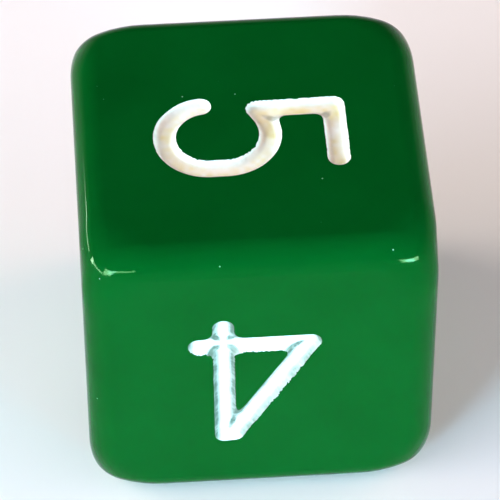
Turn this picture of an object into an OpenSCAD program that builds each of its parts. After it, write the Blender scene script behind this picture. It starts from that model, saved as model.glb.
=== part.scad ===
// Six-sided numbered die: one moulded cube with rounded edges and a numeral sunk in each face.
// Every numeral groove is lined with its own coat of ink, drawn as a separate node.
// Millimetres, +Z up. The origin is the centre of the face the die rests on.

/* [Body] */
// Width across two opposite faces
die_w = 16; // [14:0.5:25]
// Radius of the rounded edges and corners
edge_r = 1.3; // [0.8:0.1:2]

/* [Numerals] */
// Height of a numeral between its outermost stroke centre lines
numeral_h = 7.8; // [6:0.1:8]
// Width of a stroke where it opens at the face
stroke_w = 1; // [0.8:0.05:1.1]
// Depth of a stroke below the face
stroke_d = 0.4; // [0.3:0.05:0.45]

/* [Ink] */
// Thickness of the ink at the bottom of a groove
ink_floor = 0.12; // [0.08:0.01:0.15]
// Thickness of the ink on the walls of a groove
ink_wall = 0.08; // [0.05:0.01:0.1]
// Distance from the face down to the rim of the ink
ink_recess = 0.03; // [0.02:0.01:0.05]

/* [Output] */
// Node to draw

/* [Hidden] */
$fn = 96;
half = die_w / 2;
flat_w = die_w - 2 * edge_r;
// the numerals are laid out on a grid on which the tallest is 7.8 high
unit = numeral_h / 7.8;
groove_hw = stroke_w / 2;
channel_hw = groove_hw - ink_wall;
overshoot = 1;
ink_color = [0.95, 0.95, 0.92];

// numeral 1
one_x = 0.55;
one_top = 3.9;
one_flag = [-1.2, 2.35];

// numeral 2: a hook, a slope that leaves it at a tangent, a base line
two_r = 2;
two_y = 1.9;
two_leave = -38;
two_start = 168;
two_low = -3.9;
two_base_end = 2.1;

// numeral 3: bar, slope, a short neck, then a bowl
three_bar = [-1.75, 3.9];
three_corner = 1.85;
three_neck = [-0.5, 0.55];
three_r = 2.25;
three_x = 0.2;
three_stop = -158;

// numeral 4
four_top = [1.7, 3.86];
four_peak = [1.34, 3.86];
four_corner = [-2.2, -2.25];
four_bar_end = 2.87;
four_foot = [1.76, -3.45];

// numeral 5: bar, stem, a short neck, then a bowl of two bends and a straight
five_corner = [-1.33, 3.9];
five_bar_end = 2.02;
five_neck = 0.56;
five_enter = 118;
five_flank = 2.37;
five_r_top = 2.15;
five_y_top = -1.23;
five_r_low = 2;
five_y_low = -1.9;
five_stop = -172;

// numeral 6: a bowl closed onto a straight left side, which sweeps over at the top
six_r = 2.1;
six_y = -1.85;
six_close = 120;
six_side_top = 0.1;
six_sweep_r = 4.1;
six_stop = 112;

body();
ink_1();
ink_2();
ink_3();
ink_4();
ink_5();
ink_6();

module body() {
    color([0.03, 0.38, 0.14])
        difference() {
            translate([0, 0, half])
                rounded_cube();
            face_1() cut(stroke_d) numeral_1(groove_hw);
            face_2() cut(stroke_d) numeral_2(groove_hw);
            face_3() cut(stroke_d) numeral_3(groove_hw);
            face_4() cut(stroke_d) numeral_4(groove_hw);
            face_5() cut(stroke_d) numeral_5(groove_hw);
            face_6() cut(stroke_d) numeral_6(groove_hw);
        }
}

module ink_1() {
    color(ink_color)
        face_1() ink_coat() {
            numeral_1(groove_hw);
            numeral_1(channel_hw);
        }
}

module ink_2() {
    color(ink_color)
        face_2() ink_coat() {
            numeral_2(groove_hw);
            numeral_2(channel_hw);
        }
}

module ink_3() {
    color(ink_color)
        face_3() ink_coat() {
            numeral_3(groove_hw);
            numeral_3(channel_hw);
        }
}

module ink_4() {
    color(ink_color)
        face_4() ink_coat() {
            numeral_4(groove_hw);
            numeral_4(channel_hw);
        }
}

module ink_5() {
    color(ink_color)
        face_5() ink_coat() {
            numeral_5(groove_hw);
            numeral_5(channel_hw);
        }
}

module ink_6() {
    color(ink_color)
        face_6() ink_coat() {
            numeral_6(groove_hw);
            numeral_6(channel_hw);
        }
}

// tool that sinks an outline into the face z = 0
module cut(depth) {
    translate([0, 0, -depth])
        linear_extrude(depth + overshoot)
            children();
}

// lining of a groove: its first outline filled, less the second above the ink floor
module ink_coat() {
    difference() {
        translate([0, 0, -stroke_d])
            linear_extrude(stroke_d - ink_recess)
                children(0);
        cut(stroke_d - ink_floor)
            children(1);
    }
}

// ---- body blank, centred on the origin ----

module rounded_cube() {
    cube(flat_w, center = true);
    for (turn = [[0, 0, 0], [90, 0, 0], [0, 90, 0]])
        rotate(turn)
            for (side = [-1, 1])
                translate([0, 0, side * (half - edge_r / 2)])
                    cube([flat_w, flat_w, edge_r], center = true);
    for (turn = [[0, 0, 0], [90, 0, 0], [0, 90, 0]])
        rotate(turn)
            for (quarter = [0:90:270])
                rotate([0, 0, quarter])
                    translate([flat_w / 2, flat_w / 2, -flat_w / 2])
                        quarter_rod();
    for (side = [0, 180], quarter = [0:90:270])
        rotate([side, 0, quarter])
            translate([flat_w / 2, flat_w / 2, flat_w / 2])
                ball_corner();
}

module quarter_rod() {
    linear_extrude(flat_w)
        quarter_disc(edge_r);
}

module ball_corner() {
    rotate_extrude(angle = 90)
        quarter_disc(edge_r);
}

module quarter_disc(r) {
    intersection() {
        circle(r);
        square(r);
    }
}

// ---- where each numeral sits: its face becomes z = 0 with the outside above ----

module face_1() {
    translate([half, 0, half]) rotate([90, 0, 90]) children();
}

module face_2() {
    rotate([180, 0, 0]) children();
}

module face_3() {
    translate([0, half, half]) rotate([90, 0, 180]) children();
}

module face_4() {
    translate([0, -half, half]) rotate([90, 180, 0]) children();
}

module face_5() {
    translate([0, 0, die_w]) rotate([0, 0, -90]) children();
}

module face_6() {
    translate([-half, 0, half]) rotate([90, 0, -90]) children();
}

// ---- numerals, each a run of strokes of half width hw about its centre lines ----

module numeral_1(hw) {
    line([one_x, one_top], [one_x, -one_top], hw);
    line([one_x, one_top], one_flag, hw);
}

module numeral_2(hw) {
    hook = [0, two_y];
    leave = on_arc(hook, two_r, two_leave);
    foot = [leave[0] + (leave[1] - two_low) * tan(two_leave), two_low];
    bend(hook, two_r, two_leave, two_start, hw);
    line(leave, foot, hw);
    line(foot, [two_base_end, two_low], hw);
}

module numeral_3(hw) {
    corner = [three_corner, three_bar[1]];
    bowl = [three_x, three_neck[1] - three_r];
    line(three_bar, corner, hw);
    line(corner, three_neck, hw);
    line(three_neck, [three_x, three_neck[1]], hw);
    bend(bowl, three_r, three_stop, 90, hw);
}

module numeral_4(hw) {
    line(four_top, four_foot, hw);
    line(four_top, four_peak, hw);
    line(four_peak, four_corner, hw);
    line(four_corner, [four_bar_end, four_corner[1]], hw);
}

module numeral_5(hw) {
    top = [five_flank - five_r_top, five_y_top];
    low = [five_flank - five_r_low, five_y_low];
    enter = on_arc(top, five_r_top, five_enter);
    stem_end = enter + five_neck * [-sin(five_enter), cos(five_enter)];
    line(five_corner, [five_bar_end, five_corner[1]], hw);
    line(five_corner, stem_end, hw);
    line(stem_end, enter, hw);
    bend(top, five_r_top, 0, five_enter, hw);
    line([five_flank, five_y_top], [five_flank, five_y_low], hw);
    bend(low, five_r_low, five_stop, 0, hw);
}

module numeral_6(hw) {
    bowl = [0, six_y];
    sweep = [six_sweep_r - six_r, six_side_top];
    close = on_arc(bowl, six_r, six_close);
    close_run = (close[0] + six_r) / sin(six_close);
    bend(bowl, six_r, 180, 360 + six_close, hw);
    line(close, [-six_r, close[1] + close_run * cos(six_close)], hw);
    line([-six_r, six_y], [-six_r, six_side_top], hw);
    bend(sweep, six_sweep_r, six_stop, 180, hw);
}

function on_arc(centre, radius, at) = centre + radius * [cos(at), sin(at)];

// straight stroke with round ends
module line(from, to, hw) {
    run = (to - from) * unit;
    translate(from * unit)
        rotate(atan2(run[1], run[0])) {
            translate([0, -hw])
                square([norm(run), 2 * hw]);
            circle(hw);
            translate([norm(run), 0])
                circle(hw);
        }
}

// stroke bent anticlockwise about a centre between two angles, with round ends
module bend(centre, radius, from, to, hw) {
    r = radius * unit;
    fan = [for (i = [0:6]) 3 * r * [cos(from + i * (to - from) / 6), sin(from + i * (to - from) / 6)]];
    translate(centre * unit) {
        intersection() {
            difference() {
                circle(r + hw);
                circle(r - hw);
            }
            polygon(concat([[0, 0]], fan));
        }
        for (at = [from, to])
            rotate(at)
                translate([r, 0])
                    circle(hw);
    }
}
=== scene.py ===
"""Looks of the numbered die: a polished green moulding with white ink in each sunk numeral."""

import math

import bpy
import numpy as np
from mathutils import Matrix, Vector
from mathutils.geometry import delaunay_2d_cdt


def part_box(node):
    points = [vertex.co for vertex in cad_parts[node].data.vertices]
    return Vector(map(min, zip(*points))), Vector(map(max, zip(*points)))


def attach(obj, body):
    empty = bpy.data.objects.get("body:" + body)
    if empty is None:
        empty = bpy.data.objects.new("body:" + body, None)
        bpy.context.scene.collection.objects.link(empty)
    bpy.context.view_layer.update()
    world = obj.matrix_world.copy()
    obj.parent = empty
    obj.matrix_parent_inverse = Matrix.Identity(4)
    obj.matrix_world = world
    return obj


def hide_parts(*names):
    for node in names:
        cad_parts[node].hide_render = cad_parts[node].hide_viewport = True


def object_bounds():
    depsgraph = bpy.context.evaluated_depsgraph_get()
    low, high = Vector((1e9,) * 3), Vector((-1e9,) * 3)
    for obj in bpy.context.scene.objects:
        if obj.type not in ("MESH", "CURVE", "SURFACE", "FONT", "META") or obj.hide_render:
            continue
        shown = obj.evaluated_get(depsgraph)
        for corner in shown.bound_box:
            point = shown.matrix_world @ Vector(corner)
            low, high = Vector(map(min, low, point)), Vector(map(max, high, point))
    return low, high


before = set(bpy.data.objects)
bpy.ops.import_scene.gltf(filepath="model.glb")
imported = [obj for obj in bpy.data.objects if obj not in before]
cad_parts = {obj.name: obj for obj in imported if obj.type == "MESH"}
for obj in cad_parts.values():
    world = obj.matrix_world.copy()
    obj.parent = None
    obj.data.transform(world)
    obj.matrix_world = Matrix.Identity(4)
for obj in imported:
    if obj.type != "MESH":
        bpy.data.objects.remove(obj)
cad_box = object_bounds()

# ---------------------------------------------------------------- driving sizes, in millimetres

MM = 0.001
body_low, body_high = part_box("body")
WIDTH = (body_high.x - body_low.x) / MM
HALF = WIDTH / 2
CENTRE = (body_low + body_high) / 2 / MM

EDGE_R = 1.3            # rounding of the edges
CORNER_CUT = 0.27       # how much lower than the ball of three edges a corner is worn
CORNER_SOFT = 1.2       # how softly the worn corner runs into the edges
BORDER = 2.0            # width of the closely meshed rim of a face
BORDER_STEPS = 16       # mesh lines from that rim's inside to the middle of the edge
FLAT_STEP = 0.5         # mesh spacing on the plain flat

STROKE_HW = 0.5         # half width of a stroke at the face
STROKE_DEPTH = 0.4      # along its centre line
LIP_SOFT = 0.15         # how far the lip of a groove is rounded over
WEB = 0.5               # how far the crook between two strokes is filled
STROKE_STEP = 0.07      # mesh spacing along a stroke
STROKE_CLEAR = 0.15     # width kept free of grid points round the outermost ring
# distances from a centre line at which the body's mesh points follow a stroke
RING_LEVELS = (0.0, 0.13, 0.25, 0.33, 0.39, 0.43, 0.46, 0.485, 0.51, 0.54, 0.58, 0.64, 0.75)

INK_THICK = 0.11        # in the middle of a stroke
INK_RIM = 0.1           # part of that left at its rim
INK_SWELL = 0.12        # distance over which it thickens from the rim
INK_GAP = 0.0008        # between the underside of the ink and the groove
INK_MOST = 0.8          # part of a groove's depth that ink and gap never exceed
GAP_MOST = 0.1          # part of a groove's depth that the gap never exceeds
INK_REACH = 0.53        # the ink never spreads further from a centre line
INK_STEP = 0.045        # mesh spacing along a stroke of ink
# distances from a centre line at which the ink's mesh points follow a stroke
INK_LEVELS = (0.0, 0.14, 0.26, 0.34, 0.39, 0.42, 0.44, 0.46, 0.48, 0.5, 0.52, 0.54, 0.57, 0.62)

# how far something strays, and over what distance
INK_UNEVEN = (0.3, 0.5)         # thickness of the ink, as a part of it
RIM_FINE = (0.008, 0.14)        # rim of the ink
RIM_BROAD = (0.012, 0.7)
RIM_TORN = (0.03, 0.06)         # rim of the ink in its torn patches
THIN_AND_SHADE_BROAD = (0.2, 0.35)        # how far the ink is thinned, and greyed as painted shade
THIN_AND_SHADE_FINE = (0.14, 0.1)
FLOOR_SHADE_BROAD = (0.6, 1.1)        # how much cream painted shade lies on the ink's floor
FLOOR_SHADE_FINE = (0.35, 0.25)
TORN_SIZE = 1.4                 # size of a torn patch

# distances from a centre line between which the painted floor shade fades out, and the thinned and
# painted-shaded walls and crooks set in
FLOOR_SHADE_ENDS = (0.12, 0.4)
WALL_STARTS = (0.08, 0.42)
CROOK_STARTS = (0.04, 0.26)

# face number: where its ink ends, how far it is thinned and greyed as painted shade on the walls
# and in the crooks, how much painted shade lies on its floor
INK_STATE = {
    1: (0.49, 0.45, 0.6, 0.5),
    2: (0.485, 0.5, 0.7, 0.4),
    3: (0.49, 0.55, 0.6, 0.45),
    4: (0.485, 1.05, 1.0, 0.08),
    5: (0.515, 0.3, 0.5, 1.0),
    6: (0.49, 0.5, 0.6, 0.5),
}

# ---------------------------------------------------------------- strokes of the numerals


def unit(angle):
    """Unit vector at an angle in degrees."""
    a = math.radians(angle)
    return np.array([math.cos(a), math.sin(a)])


def length(vectors):
    return np.linalg.norm(vectors, axis=1)


class Line:
    """Straight stroke between two points."""

    def __init__(self, start, end):
        self.start = np.array(start, float)
        self.end = np.array(end, float)
        self.length = np.linalg.norm(self.end - self.start)
        self.along = (self.end - self.start) / self.length

    def nearest(self, points):
        """Nearest place to each point on the centre line."""
        t = np.clip((points - self.start) @ self.along, 0, self.length)
        return self.start + t[:, None] * self.along

    def ring(self, level, step):
        """Points all round the stroke at one distance from its centre line."""
        side = np.array([-self.along[1], self.along[0]])
        t = np.linspace(0, self.length, max(2, round(self.length / step) + 1))[:, None]
        sides = (-1, 1) if level else (1,)
        runs = [self.start + t * self.along + s * level * side for s in sides]
        heading = math.degrees(math.atan2(self.along[1], self.along[0]))
        runs.append(cap(self.end, heading, level, step))
        runs.append(cap(self.start, heading + 180, level, step))
        return np.concatenate(runs)


class Arc:
    """Bend about a centre, anticlockwise from one angle to another, in degrees."""

    def __init__(self, centre, radius, start, end):
        self.centre = np.array(centre, float)
        self.radius = radius
        self.start = start
        self.end = end

    def at(self, angle):
        return self.centre + self.radius * unit(angle)

    def nearest(self, points):
        rel = points - self.centre
        turn = (np.degrees(np.arctan2(rel[:, 1], rel[:, 0])) - self.start) % 360
        on_bend = self.centre + self.radius * rel / np.maximum(length(rel), 1e-9)[:, None]
        start, end = self.at(self.start), self.at(self.end)
        nearer_start = length(points - start) < length(points - end)
        on_end = np.where(nearer_start[:, None], start, end)
        return np.where((turn <= self.end - self.start)[:, None], on_bend, on_end)

    def ring(self, level, step):
        runs = []
        for radius in (self.radius - level, self.radius + level) if level else (self.radius,):
            count = max(2, round(math.radians(self.end - self.start) * radius / step) + 1)
            a = np.radians(np.linspace(self.start, self.end, count))
            runs.append(self.centre + radius * np.stack([np.cos(a), np.sin(a)], 1))
        runs.append(cap(self.at(self.end), self.end + 90, level, step))
        runs.append(cap(self.at(self.start), self.start - 90, level, step))
        return np.concatenate(runs)


def cap(centre, heading, level, step):
    """Half circle of points round the end of a stroke."""
    if not level:
        return np.empty((0, 2))
    a = np.radians(heading + np.linspace(-90, 90, max(4, round(math.pi * level / step) + 1)))
    return centre + level * np.stack([np.cos(a), np.sin(a)], 1)


# A numeral is a list of runs, and the strokes of one run join at a tangent. Every numeral is drawn
# upright about the middle of its face.


def numeral_1():
    top, foot, flag = (0.55, 3.9), (0.55, -3.9), (-1.2, 2.35)
    return [[Line(top, foot)], [Line(top, flag)]]


def numeral_2():
    slope, low = -38, -3.9
    hook = Arc((0, 1.9), 2, slope, 168)
    leave = hook.at(slope)
    foot = (leave[0] + (leave[1] - low) * math.tan(math.radians(slope)), low)
    return [[hook, Line(leave, foot)], [Line(foot, (2.1, low))]]


def numeral_3():
    start, corner, neck, radius = (-1.75, 3.9), (1.85, 3.9), (-0.5, 0.55), 2.25
    bowl = Arc((0.2, neck[1] - radius), radius, -158, 90)
    return [[Line(start, corner)], [Line(corner, neck)], [Line(neck, bowl.at(90)), bowl]]


def numeral_4():
    top, foot, peak = (1.7, 3.86), (1.76, -3.45), (1.34, 3.86)
    corner, bar_end = (-2.2, -2.25), (2.87, -2.25)
    return [[Line(top, foot)], [Line(top, peak)], [Line(peak, corner)], [Line(corner, bar_end)]]


def numeral_5():
    corner, bar_end = (-1.33, 3.9), (2.02, 3.9)
    flank, top_radius, low_radius, neck, slope = 2.37, 2.15, 2, 0.56, 118
    top = Arc((flank - top_radius, -1.23), top_radius, 0, slope)
    low = Arc((flank - low_radius, -1.9), low_radius, -172, 0)
    enter = top.at(slope)
    stem_end = enter + neck * unit(slope + 90)
    bowl = [Line(stem_end, enter), top, Line(top.at(0), low.at(0)), low]
    return [[Line(corner, bar_end)], [Line(corner, stem_end)], bowl]


def numeral_6():
    y, radius, side_top, slope = -1.85, 2.1, 0.1, 120
    bowl = Arc((0, y), radius, 180, slope + 360)
    sweep = Arc((2.0, side_top), 4.1, 112, 180)
    close = bowl.at(slope)
    run = (close[0] + radius) / math.sin(math.radians(slope))
    meet = close + run * unit(slope + 90)
    side = Line((-radius, y), (-radius, side_top))
    return [[bowl, side, sweep], [Line(close, meet)]]


# face number: its numeral, and the directions of the numeral's right, its top and the outside
FACES = {
    1: (numeral_1(), (0, 1, 0), (0, 0, 1), (1, 0, 0)),
    2: (numeral_2(), (1, 0, 0), (0, -1, 0), (0, 0, -1)),
    3: (numeral_3(), (-1, 0, 0), (0, 0, 1), (0, 1, 0)),
    4: (numeral_4(), (-1, 0, 0), (0, 0, -1), (0, -1, 0)),
    5: (numeral_5(), (0, -1, 0), (1, 0, 0), (0, 0, 1)),
    6: (numeral_6(), (0, -1, 0), (0, 0, 1), (-1, 0, 0)),
}


def smooth_min(a, b, reach):
    blend = np.clip(reach - abs(a - b), 0, None)
    return np.minimum(a, b) - blend * blend / (4 * reach)


def run_distance(run, points):
    """Distance to a run of strokes that join at a tangent, and the direction away from it."""
    away = np.stack([points - stroke.nearest(points) for stroke in run])
    far = np.linalg.norm(away, axis=2)
    pick = far.argmin(0), np.arange(len(points))
    return far[pick], away[pick] / np.maximum(far[pick], 1e-9)[:, None]


def stroke_field(groups, points):
    """Distance to the nearest centre line with the crooks between strokes filled, the plain
    distance, and the direction away from the line."""
    plain, away = run_distance(groups[0], points)
    filled = plain
    for run in groups[1:]:
        far, aside = run_distance(run, points)
        crook = np.clip(1 - (away * aside).sum(1), 1e-6, 1)
        filled = smooth_min(filled, far, WEB * crook)
        away = np.where((far < plain)[:, None], aside, away)
        plain = np.minimum(plain, far)
    return filled, plain, away


def stroke_distance(groups, points):
    return stroke_field(groups, points)[0]


def groove_depth(distance):
    """Round-walled groove with a flattish floor and a softened lip."""
    raw = STROKE_DEPTH * (1 - (np.clip(distance, 0, 2) / STROKE_HW) ** 4)
    blend = np.clip(LIP_SOFT - abs(raw), 0, None)
    return np.maximum(raw, 0) + blend * blend / (4 * LIP_SOFT)


# ---------------------------------------------------------------- smooth seeded noise

NOISE_CELLS = 64        # cells a side after which the noise repeats


def value_noise(points, size, seed):
    """Smooth noise from -1 to 1 on points in the plane, with blobs of one size."""
    grid = np.random.default_rng(seed).uniform(-1, 1, (NOISE_CELLS, NOISE_CELLS))
    q = points / size
    cell = np.floor(q).astype(int)
    f = q - cell
    f = f * f * (3 - 2 * f)
    i, j = cell[:, 0] % NOISE_CELLS, cell[:, 1] % NOISE_CELLS
    i1, j1 = (i + 1) % NOISE_CELLS, (j + 1) % NOISE_CELLS
    low = grid[i, j] * (1 - f[:, 0]) + grid[i1, j] * f[:, 0]
    high = grid[i, j1] * (1 - f[:, 0]) + grid[i1, j1] * f[:, 0]
    return low * (1 - f[:, 1]) + high * f[:, 1]


def stray(points, extent, seed):
    """Noise that goes so far either way, over such a distance."""
    amount, size = extent
    return amount * value_noise(points, size, seed)


# ---------------------------------------------------------------- body

BISECTIONS = 36         # halvings that find the surface along a ray
NORMAL_STEP = 0.004     # step over which a slope is measured
NUMERAL_REACH = 5       # no numeral goes further from the middle of its face


def rounded(points):
    """Negative inside the rounded cube with worn corners, for points in its own centred frame."""
    p = abs(points)
    q = p - (HALF - EDGE_R)
    box = np.linalg.norm(np.maximum(q, 0), axis=1) + np.minimum(q.max(1), 0) - EDGE_R
    corner_out = math.sqrt(3) * (HALF - EDGE_R) + EDGE_R - CORNER_CUT
    corner = p.sum(1) / math.sqrt(3) - corner_out
    return -smooth_min(-box, -corner, CORNER_SOFT)


def face_surface(uv):
    """Place of a face's points on the rounded cube, in the face's own frame with +Z outward."""
    on_cube = np.column_stack([uv, np.full(len(uv), HALF)])
    inner = HALF - BORDER
    base = np.clip(on_cube, -inner, inner)
    ray = on_cube - base
    low, high = np.zeros(len(uv)), np.ones(len(uv))
    for _ in range(BISECTIONS):
        mid = (low + high) / 2
        inside = rounded(base + mid[:, None] * ray) < 0
        low, high = np.where(inside, mid, low), np.where(inside, high, mid)
    return base + high[:, None] * ray


def engraved(groups, uv):
    """Place of a face's points with the numeral sunk in it."""
    place = face_surface(uv)
    place[:, 2] -= groove_depth(stroke_distance(groups, uv))
    return place


def surface_normals(surface, uv):
    """Normals of a surface given over the plane, by small steps in the plane."""
    du, dv = np.array([NORMAL_STEP, 0]), np.array([0, NORMAL_STEP])
    across = surface(uv + du) - surface(uv - du)
    up = surface(uv + dv) - surface(uv - dv)
    n = np.cross(across, up)
    return n / np.linalg.norm(n, axis=1)[:, None]


def border_lines():
    """Mesh lines across a face: close together over the rounded border, wide on the flat."""
    inner = HALF - BORDER
    turn = np.radians(np.linspace(0, 45, BORDER_STEPS + 1))
    border = inner + (HALF - inner) * np.tan(turn)
    flat = np.linspace(-inner, inner, round(2 * inner / FLAT_STEP) + 1)
    return np.concatenate([-border[:0:-1], flat, border[1:]])


def stroke_points(groups, levels, step):
    """Mesh points that follow the strokes, with an even grid where two strokes meet."""
    strokes = [s for run in groups for s in run]
    kept = []
    for level in levels:
        for stroke in strokes:
            ring = stroke.ring(level, step)
            near = np.min([length(ring - s.nearest(ring)) for s in strokes], axis=0)
            kept.append(ring[near > level - 1e-4])
    reach = levels[-1]
    extent = np.arange(-NUMERAL_REACH, NUMERAL_REACH + step, step)
    grid = np.stack(np.meshgrid(extent, extent), -1).reshape(-1, 2)
    near = np.sort(np.stack([run_distance(run, grid)[0] for run in groups]), axis=0)
    meets = (near[1] - near[0] < WEB) & (near[0] < reach)
    kept.append(grid[meets])
    return np.concatenate(kept)


def triangulate(points):
    """Points without doubles, and the triangles between them."""
    points = np.unique(np.round(points, 4), axis=0)
    verts, _, faces, _, _, _ = delaunay_2d_cdt([Vector(p) for p in points], [], [], 0, 1e-5)
    return np.array([(v.x, v.y) for v in verts]), np.array([f[:] for f in faces])


def to_object(points, face):
    """From a face's own frame to the object's directions."""
    _, right, top, out = FACES[face]
    return points @ np.array([right, top, out], float)


def build_mesh(name, verts, faces, normals):
    """Smooth-shaded object from places in millimetres, triangles and a normal for each place."""
    mesh = bpy.data.meshes.new(name)
    mesh.from_pydata((verts * MM).tolist(), [], faces.tolist())
    mesh.polygons.foreach_set("use_smooth", np.ones(len(mesh.polygons), bool))
    mesh.update()
    mesh.normals_split_custom_set_from_vertices(normals.tolist())
    obj = bpy.data.objects.new(name, mesh)
    bpy.context.scene.collection.objects.link(obj)
    return obj


def face_patch(groups):
    """One face of the body over its square: places, normals and triangles in the face's frame."""
    lines = border_lines()
    grid = np.stack(np.meshgrid(lines, lines), -1).reshape(-1, 2)
    grid = grid[stroke_distance(groups, grid) > RING_LEVELS[-1] + STROKE_CLEAR]
    points = np.concatenate([grid, stroke_points(groups, RING_LEVELS, STROKE_STEP)])
    uv, faces = triangulate(points)

    def surface(at):
        return engraved(groups, at)

    return surface(uv), surface_normals(surface, uv), faces


def make_body():
    """Six face patches welded where they meet on the edges."""
    verts, normals, faces, count = [], [], [], 0
    for face, (groups, *_) in FACES.items():
        place, normal, triangles = face_patch(groups)
        verts.append(to_object(place, face))
        normals.append(to_object(normal, face))
        faces.append(triangles + count)
        count += len(place)
    verts, normals, faces = map(np.concatenate, (verts, normals, faces))
    _, first, where = np.unique(np.round(verts, 4), axis=0, return_index=True, return_inverse=True)
    faces = where.reshape(-1)[faces]
    a, b, c = faces.T
    faces = faces[(a != b) & (b != c) & (c != a)]
    return build_mesh("Body_moulding", verts[first] + np.array(CENTRE), faces, normals[first])


# ---------------------------------------------------------------- ink


def ink_margin(face, uv):
    """Negative inside the ink, with the slightly ragged rim that wiping leaves."""
    seed = 100 * face
    ragged = stray(uv, RIM_FINE, seed) + stray(uv, RIM_BROAD, seed + 1)
    # torn from 0.2 of the noise on, and wholly torn from 0.53
    torn = np.clip(3 * value_noise(uv, TORN_SIZE, seed + 2) - 0.6, 0, 1)
    ragged += torn * stray(uv, RIM_TORN, seed + 3)
    reach = np.minimum(INK_STATE[face][0] + ragged, INK_REACH)
    return stroke_distance(FACES[face][0], uv) - reach


def ink_surface(face, uv):
    """Place of the ink's outside, in the face's own frame."""
    groups = FACES[face][0]
    inside = np.clip(-ink_margin(face, uv), 0, None)
    depth = groove_depth(stroke_distance(groups, uv))
    uneven = 1 + stray(uv, INK_UNEVEN, 100 * face + 4)
    thick = INK_THICK * (1 - (1 - INK_RIM) * np.exp(-inside / INK_SWELL)) * uneven
    place = face_surface(uv)
    place[:, 2] -= depth - np.minimum(INK_GAP + thick, INK_MOST * depth)
    return place


def ramp(value, low, high):
    """From 0 to 1 as a value goes from one level to another, without a kink."""
    t = np.clip((value - low) / (high - low), 0, 1)
    return t * t * (3 - 2 * t)


def ink_wear_and_shade(face, uv):
    """How far the ink is thinned and greyed as painted shade, and how much cream painted shade lies
    on its floor, from 0 to 1 at each point.

    Walls that face the numeral's foot stay full; the other walls and the crooks are greyed, partly
    thinned ink and partly painted shade where they turn from the light."""
    _, walls, webs, floor_shade = INK_STATE[face]
    seed = 100 * face + 10
    near, plain, away = stroke_field(FACES[face][0], uv)
    # a crook brings the distance down by at most a quarter of WEB
    # painted shade: the crooks and the walls turned away from the light are greyed toward green, on
    # top of thinned ink
    web = ramp((plain - near) * 4 / WEB, 0, 0.45) * ramp(plain, *CROOK_STARTS) * webs
    patchy = 0.88 + stray(uv, THIN_AND_SHADE_BROAD, seed) + stray(uv, THIN_AND_SHADE_FINE, seed + 1)
    wall = ramp(near, *WALL_STARTS) * (1 - np.clip(away[:, 1], 0, 1) ** 2) * walls
    thin_and_shade = np.clip(np.maximum(web, wall) * patchy, 0, 1)
    # painted shade: a cream darkening, strongest on the groove's floor and fading toward its walls
    cloud = 0.5 + stray(uv, FLOOR_SHADE_BROAD, seed + 2) + stray(uv, FLOOR_SHADE_FINE, seed + 3)
    return thin_and_shade, np.clip(floor_shade * cloud * (1 - ramp(near, *FLOOR_SHADE_ENDS)), 0, 1)


def clip_to_ink(uv, faces, margin):
    """Keeps the part of each triangle that is inside the ink, cutting along its rim."""
    uv = list(map(tuple, uv))
    margin = list(margin)
    cut = {}

    def crossing(a, b):
        key = (min(a, b), max(a, b))
        if key not in cut:
            t = margin[a] / (margin[a] - margin[b])
            uv.append(tuple((1 - t) * np.array(uv[a]) + t * np.array(uv[b])))
            margin.append(0.0)
            cut[key] = len(uv) - 1
        return cut[key]

    kept = []
    for tri in faces:
        inside = [margin[v] < 0 for v in tri]
        if all(inside):
            kept.append(tuple(tri))
        elif any(inside):
            ring = []
            for k in range(3):
                a, b = tri[k], tri[(k + 1) % 3]
                if inside[k]:
                    ring.append(a)
                if inside[k] != inside[(k + 1) % 3]:
                    ring.append(crossing(a, b))
            kept += [(ring[0], ring[k], ring[k + 1]) for k in range(1, len(ring) - 1)]
    kept = np.array(kept)
    used, kept = np.unique(kept, return_inverse=True)
    return np.array(uv)[used], kept.reshape(-1, 3)


def rim_edges(faces):
    """Directed edges that only one triangle uses."""
    edges = {(int(t[k]), int(t[(k + 1) % 3])) for t in faces for k in range(3)}
    return [e for e in edges if (e[1], e[0]) not in edges]


def make_ink(face):
    """Closed shell of ink on one face, with how far it is thinned and greyed as painted shade, and
    how much painted floor shade it carries, at each point.
    """
    groups = FACES[face][0]
    uv, faces = triangulate(stroke_points(groups, INK_LEVELS, INK_STEP))
    uv, faces = clip_to_ink(uv, faces, ink_margin(face, uv))
    top = ink_surface(face, uv)
    under = face_surface(uv)
    depth = groove_depth(stroke_distance(groups, uv))
    under[:, 2] -= depth - np.minimum(INK_GAP, GAP_MOST * depth)
    normal = surface_normals(lambda at: ink_surface(face, at), uv)
    below = len(uv)
    sides = [t for a, b in rim_edges(faces) for t in ((b, a, a + below), (b, a + below, b + below))]
    shell = np.concatenate([faces, faces[:, ::-1] + below, np.array(sides)])
    verts = to_object(np.concatenate([top, under]), face) + np.array(CENTRE)
    normals = to_object(np.concatenate([normal, -normal]), face)
    ink = build_mesh(f"Ink_{face}", verts, shell, normals)
    # attributes for the greyed walls and crooks (thinned ink and painted shade) and for the painted
    # floor shade
    for name, amount in zip(("thin_and_shade", "floor_shade"), ink_wear_and_shade(face, uv)):
        attribute = ink.data.attributes.new(name, "FLOAT", "POINT")
        attribute.data.foreach_set("value", np.tile(amount, 2).astype(np.float32))
    return ink


# ---------------------------------------------------------------- materials

GREEN = ((0.0003, 0.0645, 0.0074), (0.0005, 0.0735, 0.009))     # darkest and lightest
GREEN_GLEAM = (0.5, 1.0, 0.55)
DUST = (0.25, 0.55, 0.35)
WHITE = ((0.94, 0.95, 0.86), (0.98, 0.99, 0.93))                # darkest and lightest
# painted shade: cream laid toward the floor of each groove
FLOOR_SHADE = (0.88, 0.81, 0.44)
THIN_INK_AND_SHADE = (0.1, 0.15, 0.11)    # white over green where little of it is left, also used as painted shade on walls and crooks
PALE = ((0.91, 0.865, 0.86), (0.93, 0.885, 0.88))               # darkest and lightest
BLACK = (0, 0, 0)
FULL = (1, 1, 1)

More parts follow.
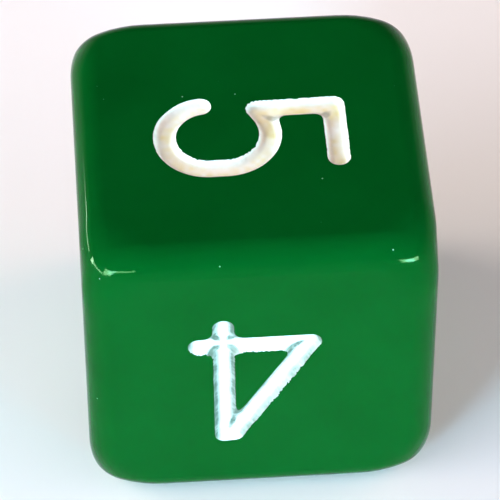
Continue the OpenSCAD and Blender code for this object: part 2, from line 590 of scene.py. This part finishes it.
DUST_CELLS = 1200               # cells to a metre, of which a few hold a speck
SPECK_EDGE = (0.03, 0.05)       # where a speck fades out, in cells from its middle
DUST_RARE = (0.62, 0.65)        # random values from which a cell holds a speck


def new_material(name):
    material = bpy.data.materials.new(name)
    material.use_nodes = True
    nodes = material.node_tree.nodes
    return material, nodes, material.node_tree.links, nodes["Principled BSDF"]


def grey(level):
    return (level, level, level)


def noise_node(nodes, links, coords, scale, detail=3.0, rough=0.5):
    node = nodes.new("ShaderNodeTexNoise")
    node.inputs["Scale"].default_value = scale
    node.inputs["Detail"].default_value = detail
    node.inputs["Roughness"].default_value = rough
    links.new(coords.outputs["Object"], node.inputs["Vector"])
    return node


def ramp_node(nodes, links, value, ends, low, high):
    """Goes from one colour to another as a value goes from the first end to the second."""
    node = nodes.new("ShaderNodeValToRGB")
    for element, at, colour in zip(node.color_ramp.elements, ends, (low, high)):
        element.position = at
        element.color = (*colour, 1)
    links.new(value, node.inputs["Fac"])
    return node


def blend_node(nodes, links, factor, base, over):
    """Colour that goes from one source to a plain colour as the factor rises."""
    node = nodes.new("ShaderNodeMix")
    node.data_type = "RGBA"
    links.new(factor, node.inputs[0])
    links.new(base, node.inputs[6])
    node.inputs[7].default_value = (*over, 1)
    return node


def bump_node(nodes, links, noise, strength, height, shader):
    """Lets a noise raise the surface by a height in metres."""
    node = nodes.new("ShaderNodeBump")
    node.inputs["Strength"].default_value = strength
    node.inputs["Distance"].default_value = height
    links.new(noise.outputs["Fac"], node.inputs["Height"])
    links.new(node.outputs["Normal"], shader.inputs["Normal"])


def dust(nodes, links, coords):
    """Sparse specks: one in a small cell here and there."""
    cells = nodes.new("ShaderNodeTexVoronoi")
    cells.inputs["Scale"].default_value = DUST_CELLS
    links.new(coords.outputs["Object"], cells.inputs["Vector"])
    round_spot = ramp_node(nodes, links, cells.outputs["Distance"], SPECK_EDGE, FULL, BLACK)
    chosen = ramp_node(nodes, links, cells.outputs["Color"], DUST_RARE, BLACK, FULL)
    both = nodes.new("ShaderNodeMath")
    both.operation = "MULTIPLY"
    links.new(round_spot.outputs["Color"], both.inputs[0])
    links.new(chosen.outputs["Color"], both.inputs[1])
    return both.outputs[0]


def green_plastic():
    material, nodes, links, shader = new_material("Green_plastic")
    coords = nodes.new("ShaderNodeTexCoord")
    shader.inputs["IOR"].default_value = 1.49
    shader.inputs["Specular IOR Level"].default_value = 0.05
    shader.inputs["Specular Tint"].default_value = (*GREEN_GLEAM, 1)
    shader.inputs["Subsurface Weight"].default_value = 0.25
    shader.inputs["Subsurface Radius"].default_value = (0.15, 1.0, 0.3)
    shader.inputs["Subsurface Scale"].default_value = 0.0008
    cloud = noise_node(nodes, links, coords, 260, 4)
    colour = ramp_node(nodes, links, cloud.outputs["Fac"], (0.3, 0.7), *GREEN)
    dusty = blend_node(nodes, links, dust(nodes, links, coords), colour.outputs["Color"], DUST)
    links.new(dusty.outputs[2], shader.inputs["Base Color"])
    smear = noise_node(nodes, links, coords, 420, 5, 0.65)
    rough = ramp_node(nodes, links, smear.outputs["Fac"], (0.3, 0.75), grey(0.05), grey(0.085))
    links.new(rough.outputs["Color"], shader.inputs["Roughness"])
    peel = noise_node(nodes, links, coords, 900, 2)
    bump_node(nodes, links, peel, 0.06, 0.00004, shader)
    return material


def attribute_node(nodes, name):
    node = nodes.new("ShaderNodeAttribute")
    node.attribute_name = name
    return node


def white_ink():
    material, nodes, links, shader = new_material("White_ink")
    coords = nodes.new("ShaderNodeTexCoord")
    shader.inputs["Specular IOR Level"].default_value = 0.25
    tone = noise_node(nodes, links, coords, 1500, 4, 0.6)
    white = ramp_node(nodes, links, tone.outputs["Fac"], (0.3, 0.65), *WHITE)
    floor_shade, thin_and_shade = (attribute_node(nodes, name).outputs["Fac"] for name in ("floor_shade", "thin_and_shade"))
    # painted shade: cream on the groove floors
    floor_shaded = blend_node(nodes, links, floor_shade, white.outputs["Color"], FLOOR_SHADE)
    # painted shade: walls and crooks greyed toward green
    worn_and_shaded = blend_node(nodes, links, thin_and_shade, floor_shaded.outputs[2], THIN_INK_AND_SHADE)
    links.new(worn_and_shaded.outputs[2], shader.inputs["Base Color"])
    grain = noise_node(nodes, links, coords, 3500, 4)
    rough = ramp_node(nodes, links, grain.outputs["Fac"], (0.3, 0.7), grey(0.4), grey(0.62))
    links.new(rough.outputs["Color"], shader.inputs["Roughness"])
    bump_node(nodes, links, grain, 0.25, 0.00003, shader)
    return material


def pale_floor():
    material, nodes, links, shader = new_material("Pale_floor")
    coords = nodes.new("ShaderNodeTexCoord")
    shader.inputs["Roughness"].default_value = 0.8
    shader.inputs["Specular IOR Level"].default_value = 0.1
    tone = noise_node(nodes, links, coords, 40, 3)
    colour = ramp_node(nodes, links, tone.outputs["Fac"], (0.3, 0.7), *PALE)
    links.new(colour.outputs["Color"], shader.inputs["Base Color"])
    return material


# ---------------------------------------------------------------- pieces

body = make_body()
body.data.materials.append(green_plastic())
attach(body, "root")
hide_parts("body")

ink_material = white_ink()
for face in FACES:
    ink = make_ink(face)
    ink.data.materials.append(ink_material)
    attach(ink, "root")
    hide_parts(f"ink_{face}")

# ---------------------------------------------------------------- floor, light and camera

FLOOR_HALF = 4.0        # metres from the middle of the floor to its sides

HORIZON = (0.72, 0.71, 0.7)
SKY = (0.1, 0.1, 0.1)
FLAG = (0.03, 0.045, 0.04)
FLAG_TOWARD = (0.05, 0.68, 0.73)
SKY_FROM = (0.1, 0.3)           # sines of the elevation between which the horizon turns to sky
FLAG_FROM = (0.82, 0.93)        # cosines of the angle to the flag's middle, from its edge inward

# Azimuths are in degrees from the front of the die, anticlockwise seen from above, elevations are
# in degrees, distances and sizes in metres, and a strength is the light that reaches the die.
NEAR, FAR = 1.5, 3.0

# name: azimuth, elevation, size, strength, colour
KEYS = {
    "Key_left": (-39, 14, (0.31, 0.31), 2.8, (0.55, 1.0, 1.32)),
    "Key_right": (38, 4, (0.3, 0.24), 3.3, (0.3, 1.0, 1.32)),
}

SOFT_ELEVATION = 30
SOFT_SIZE = (1.8, 1.8)
# name: azimuth, strength, colour
SOFTS = {
    "Soft_left": (-60, 1.85, (0.97, 1.0, 1.12)),
    "Soft_left_back": (-100, 1.9, (1.13, 1.0, 0.85)),
    "Soft_right": (60, 0.77, (0.97, 1.0, 1.15)),
    "Soft_right_back": (100, 0.83, (1.75, 1.0, 0.8)),
}

GLINT_COLOUR = (0.8, 1.0, 0.8)
# name: azimuth, elevation, size, strength
GLINTS = {
    "Glint_left": (-45, 13, (0.55, 0.34), 9.0),
    "Glint_left_tail": (-25, 17, (0.45, 0.12), 1.7),
    "Glint_right": (43, 4, (0.75, 0.3), 10.0),
    "Glint_side": (-96, 3, (0.3, 0.3), 4.0),
    "Glint_strip": (-72, 5, (1.45, 0.1), 5.0),
    "Glint_back_strip": (-121.5, 2, (0.64, 0.07), 0.8),
}


def outward(azimuth, elevation):
    """Unit vector from the die toward a direction in degrees."""
    a, e = math.radians(azimuth), math.radians(elevation)
    return Vector((math.sin(a) * math.cos(e), -math.cos(a) * math.cos(e), math.sin(e)))


def make_floor():
    z = cad_box[0][2]
    corners = [(-1, -1), (1, -1), (1, 1), (-1, 1)]
    mesh = bpy.data.meshes.new("Floor")
    mesh.from_pydata([(FLOOR_HALF * x, FLOOR_HALF * y, z) for x, y in corners], [], [(0, 1, 2, 3)])
    floor = bpy.data.objects.new("Floor", mesh)
    bpy.context.scene.collection.objects.link(floor)
    mesh.materials.append(pale_floor())


def area_light(name, azimuth, elevation, distance, size, strength, colour):
    """Light panel that faces the middle of the die."""
    data = bpy.data.lights.new(name, "AREA")
    data.shape = "RECTANGLE"
    data.size, data.size_y = size
    data.energy = strength * math.pi * distance ** 2
    data.color = colour
    light = bpy.data.objects.new(name, data)
    bpy.context.scene.collection.objects.link(light)
    away = outward(azimuth, elevation)
    light.location = Vector(CENTRE) * MM + away * distance
    light.rotation_euler = away.to_track_quat("Z", "Y").to_euler()
    return light


def make_lights():
    """Key panels light the die and are mirrored in it. Soft panels only light it, and glints
    only show as highlights on glossy surfaces."""
    for name, (azimuth, elevation, size, strength, colour) in KEYS.items():
        area_light(name, azimuth, elevation, NEAR, size, strength, colour)
    for name, (azimuth, strength, colour) in SOFTS.items():
        light = area_light(name, azimuth, SOFT_ELEVATION, FAR, SOFT_SIZE, strength, colour)
        light.visible_glossy = False
        light.visible_camera = False
    for name, (azimuth, elevation, size, strength) in GLINTS.items():
        light = area_light(name, azimuth, elevation, NEAR, size, strength, GLINT_COLOUR)
        light.visible_diffuse = False
        light.visible_camera = False


def make_world():
    """Soft surroundings, pale along the horizon and dark above, with a darker flag where the top
    face mirrors them."""
    world = bpy.data.worlds.new("World")
    bpy.context.scene.world = world
    world.use_nodes = True
    nodes, links = world.node_tree.nodes, world.node_tree.links
    coords = nodes.new("ShaderNodeTexCoord")

    def lobe(axis, ends, low, high):
        """Colour by how near a direction is to an axis, as the cosine of the angle."""
        toward = nodes.new("ShaderNodeVectorMath")
        toward.operation = "DOT_PRODUCT"
        toward.inputs[1].default_value = axis
        links.new(coords.outputs["Generated"], toward.inputs[0])
        return ramp_node(nodes, links, toward.outputs["Value"], ends, low, high)

    sky = lobe((0, 0, 1), SKY_FROM, HORIZON, SKY)
    flag = lobe(FLAG_TOWARD, FLAG_FROM, BLACK, FULL)
    flagged = blend_node(nodes, links, flag.outputs["Color"], sky.outputs["Color"], FLAG)
    links.new(flagged.outputs[2], nodes["Background"].inputs["Color"])


def make_camera(azimuth, elevation, roll, distance, lens, pan):
    """Camera on the middle of the die. Roll turns it about its view, in degrees, and pan moves it
    right and up, in metres."""
    data = bpy.data.cameras.new("Camera")
    data.lens = lens
    data.sensor_width = 36
    data.clip_start = 0.01
    data.clip_end = 50
    camera = bpy.data.objects.new("Camera", data)
    bpy.context.scene.collection.objects.link(camera)
    r = math.radians(roll)
    back = outward(azimuth, elevation)
    side = Vector((0, 0, 1)).cross(back).normalized()
    up = back.cross(side)
    right = side * math.cos(r) + up * math.sin(r)
    up = up * math.cos(r) - side * math.sin(r)
    turn = Matrix((right, up, back)).transposed().to_4x4()
    place = Vector(CENTRE) * MM + back * distance + right * pan[0] + up * pan[1]
    camera.matrix_world = Matrix.Translation(place) @ turn
    bpy.context.scene.camera = camera


make_floor()
make_world()
make_lights()
make_camera(azimuth=-3.843, elevation=47.003, roll=-0.19, distance=0.174697, lens=267.99,
            pan=(-0.000013, -0.000026))

view = bpy.context.scene.view_settings
view.view_transform = "Standard"
view.look = "None"
